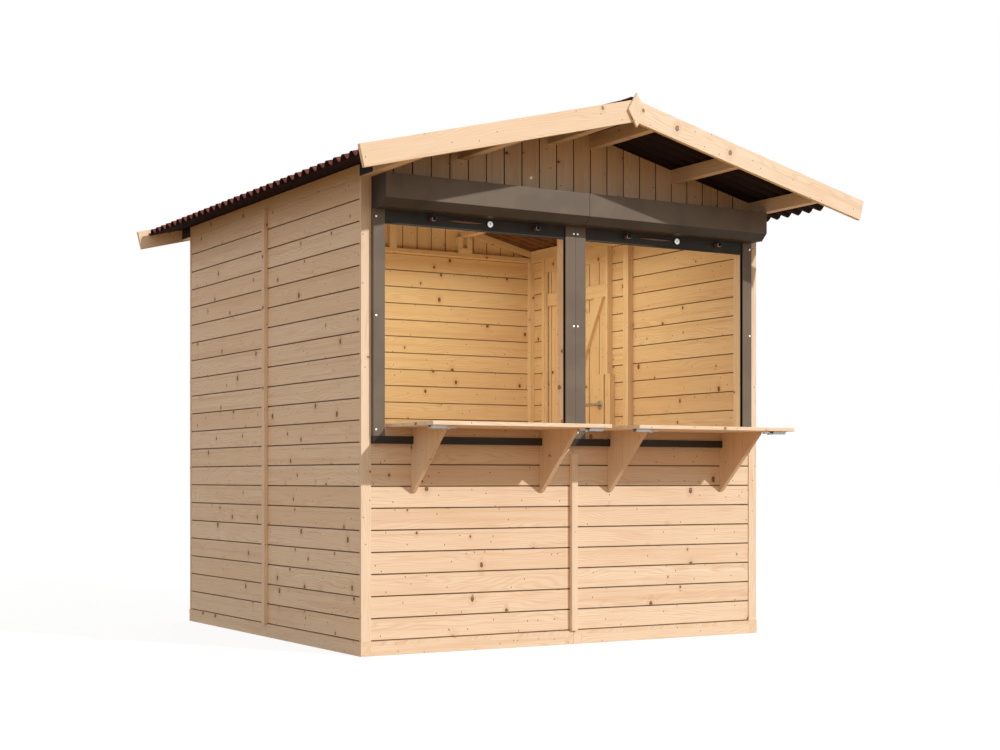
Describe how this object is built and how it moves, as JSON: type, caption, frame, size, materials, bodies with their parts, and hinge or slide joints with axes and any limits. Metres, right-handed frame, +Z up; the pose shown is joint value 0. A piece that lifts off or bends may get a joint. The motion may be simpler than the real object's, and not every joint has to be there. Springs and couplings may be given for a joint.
{
  "type": "wooden market hut",
  "caption": "Small gable-roofed timber sales hut with serving hatches under roller shutters, folding counters and a side door.",
  "frame": {"origin": "on the ground, under the middle of the roof", "axes": "+X to the right of the hatch side as seen from the front, +Y from the hatch side to the back, +Z up; the ridge runs along Y"},
  "size_m": [2.741, 2.644, 2.4697],
  "materials": {
    "spruce_boards": "raw planed spruce boards with knots",
    "spruce_timber": "raw planed spruce timber",
    "roof_sheet": "dull dark red corrugated bitumen sheet",
    "dark_metal": "satin dark grey powder coat",
    "zinc_steel": "zinc plated sheet steel",
    "handle_metal": "satin aluminium"
  },
  "bodies": {
    "hut": {"floor_joists": "spruce_timber", "floor_cross_joists": "spruce_timber", "floor_deck": "spruce_boards", "corner_posts": "spruce_timber", "left_wall": "spruce_boards", "right_wall": "spruce_boards", "right_wall_over_door": "spruce_boards", "back_wall": "spruce_boards", "front_parapet": "spruce_boards", "wall_studs": "spruce_timber", "parapet_studs": "spruce_timber", "joint_battens": "spruce_timber", "hatch_sill": "spruce_timber", "hatch_posts": "spruce_timber", "head_beam": "spruce_timber", "sill_bar": "dark_metal", "guide_rails": "dark_metal", "shutter_boxes": "dark_metal", "shutter_slats": "dark_metal", "counters": "spruce_timber", "counter_brackets": "spruce_timber", "counter_bolts": "zinc_steel", "eaves_purlins": "spruce_timber", "middle_purlins": "spruce_timber", "ridge_purlins": "spruce_timber", "gable_boards": "spruce_boards", "gable_rails": "spruce_timber", "gable_posts": "spruce_timber", "gable_rafters": "spruce_timber", "roof_sheet_left": "roof_sheet", "roof_sheet_right": "roof_sheet", "ridge_cap": "roof_sheet", "barge_boards": "spruce_timber", "ridge_kites": "spruce_timber", "door_jambs": "spruce_timber", "keeper_block": "spruce_timber", "door_stops": "spruce_timber", "hinge_pintles": "zinc_steel"},
    "door": {"door_leaf": "spruce_boards", "door_ledges": "spruce_timber", "door_braces": "spruce_timber", "door_straps": "zinc_steel", "lock_block": "spruce_timber", "door_roses": "handle_metal"},
    "handle": {"door_handle": "handle_metal"}
  },
  "joints": [
    {"name": "door_hinge", "type": "hinge", "parent": "hut", "child": "door", "pos_m": [1.1265, 0.975, 1], "axis": [0, 0, 1], "range_deg": [0, 110]},
    {"name": "handle_turn", "type": "hinge", "parent": "door", "child": "handle", "pos_m": [1, 0.406, 1.19], "axis": [-1, 0, 0], "range_deg": [0, 45], "stiffness_Nm_per_rad": 1, "springref_deg": -28.65}
  ]
}
